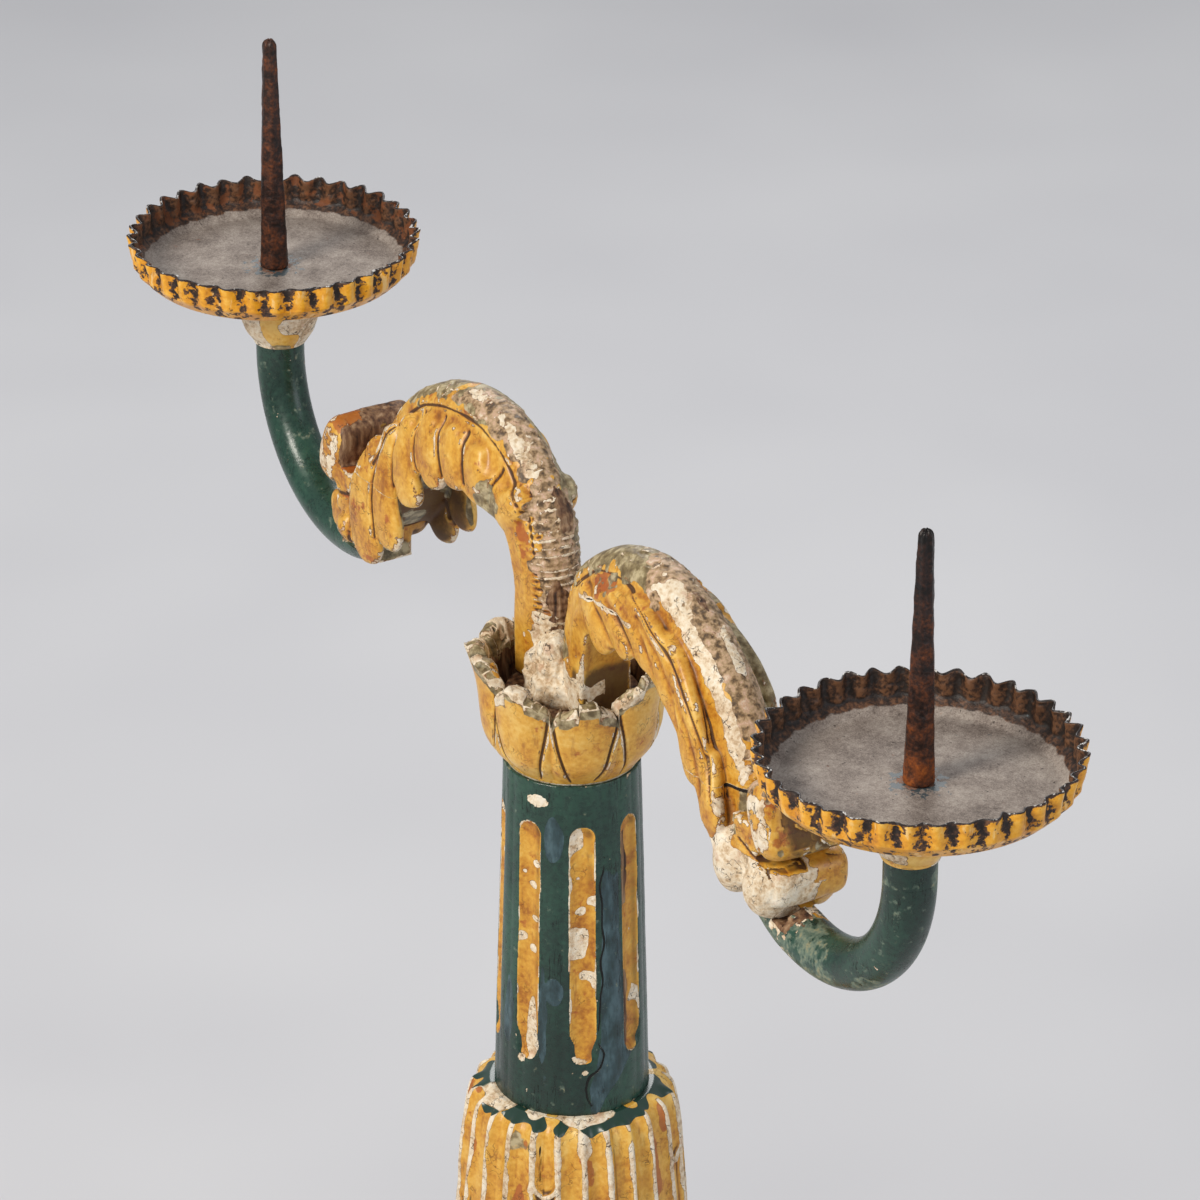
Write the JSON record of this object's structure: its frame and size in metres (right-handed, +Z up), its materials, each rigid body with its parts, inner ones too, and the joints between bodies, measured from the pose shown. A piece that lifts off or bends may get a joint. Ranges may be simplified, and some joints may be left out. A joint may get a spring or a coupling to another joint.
{
  "type": "candlestick",
  "caption": "Tall carved and gilded wooden candlestick with two scrolling leaf arms, hooked stems, crimped iron drip pans and upright iron prickets.",
  "frame": {"origin": "on the floor under the middle of the column, at the bottom of the bun feet", "axes": "+Z up along the column, +X towards the right arm, -Y towards the front"},
  "size_m": [0.495, 0.19, 0.677],
  "materials": {
    "gilded_wood": "worn golden varnish over silver leaf on gesso",
    "green_wood": "old dark green paint",
    "bare_wood": "bare old wood",
    "gesso": "rough chalk and glue",
    "sheet_iron": "yellow paint outside, dusty rusty iron inside",
    "wrought_iron": "rusted"
  },
  "bodies": {
    "stand": {"bun_foot_front_left": "gilded_wood", "bun_foot_front_right": "gilded_wood", "bun_foot_back_left": "gilded_wood", "bun_foot_back_right": "gilded_wood", "plinth_base": "green_wood", "plinth_dowels": "bare_wood", "dado": "green_wood", "plinth_cap": "gilded_wood", "turned_foot": "green_wood", "bead_ring": "gilded_wood", "spool": "green_wood", "neck_ring": "gilded_wood", "vase": "gilded_wood", "column": "green_wood", "flower_cup": "gilded_wood", "arm_block": "bare_wood", "arm_nails": "wrought_iron", "gesso_packing": "gesso", "scroll_arm_left": "gilded_wood", "scroll_arm_right": "gilded_wood", "tip_dowels": "bare_wood", "leaf_tip_left": "gilded_wood", "leaf_tip_right": "gilded_wood", "stem_nails": "wrought_iron", "stem_left": "green_wood", "stem_right": "green_wood", "collar_left": "gilded_wood", "collar_right": "gilded_wood", "pricket_left": "wrought_iron", "pricket_right": "wrought_iron"},
    "left_pan": {"drip_pan_left": "sheet_iron"},
    "right_pan": {"drip_pan_right": "sheet_iron"}
  },
  "joints": [
    {"name": "drip_pan_left_turn", "type": "hinge", "parent": "stand", "child": "left_pan", "pos_m": [-0.1975, 0, 0.593], "axis": [0, 0, 1], "continuous": true},
    {"name": "drip_pan_right_turn", "type": "hinge", "parent": "stand", "child": "right_pan", "pos_m": [0.1975, 0, 0.578], "axis": [0, 0, 1], "continuous": true}
  ]
}
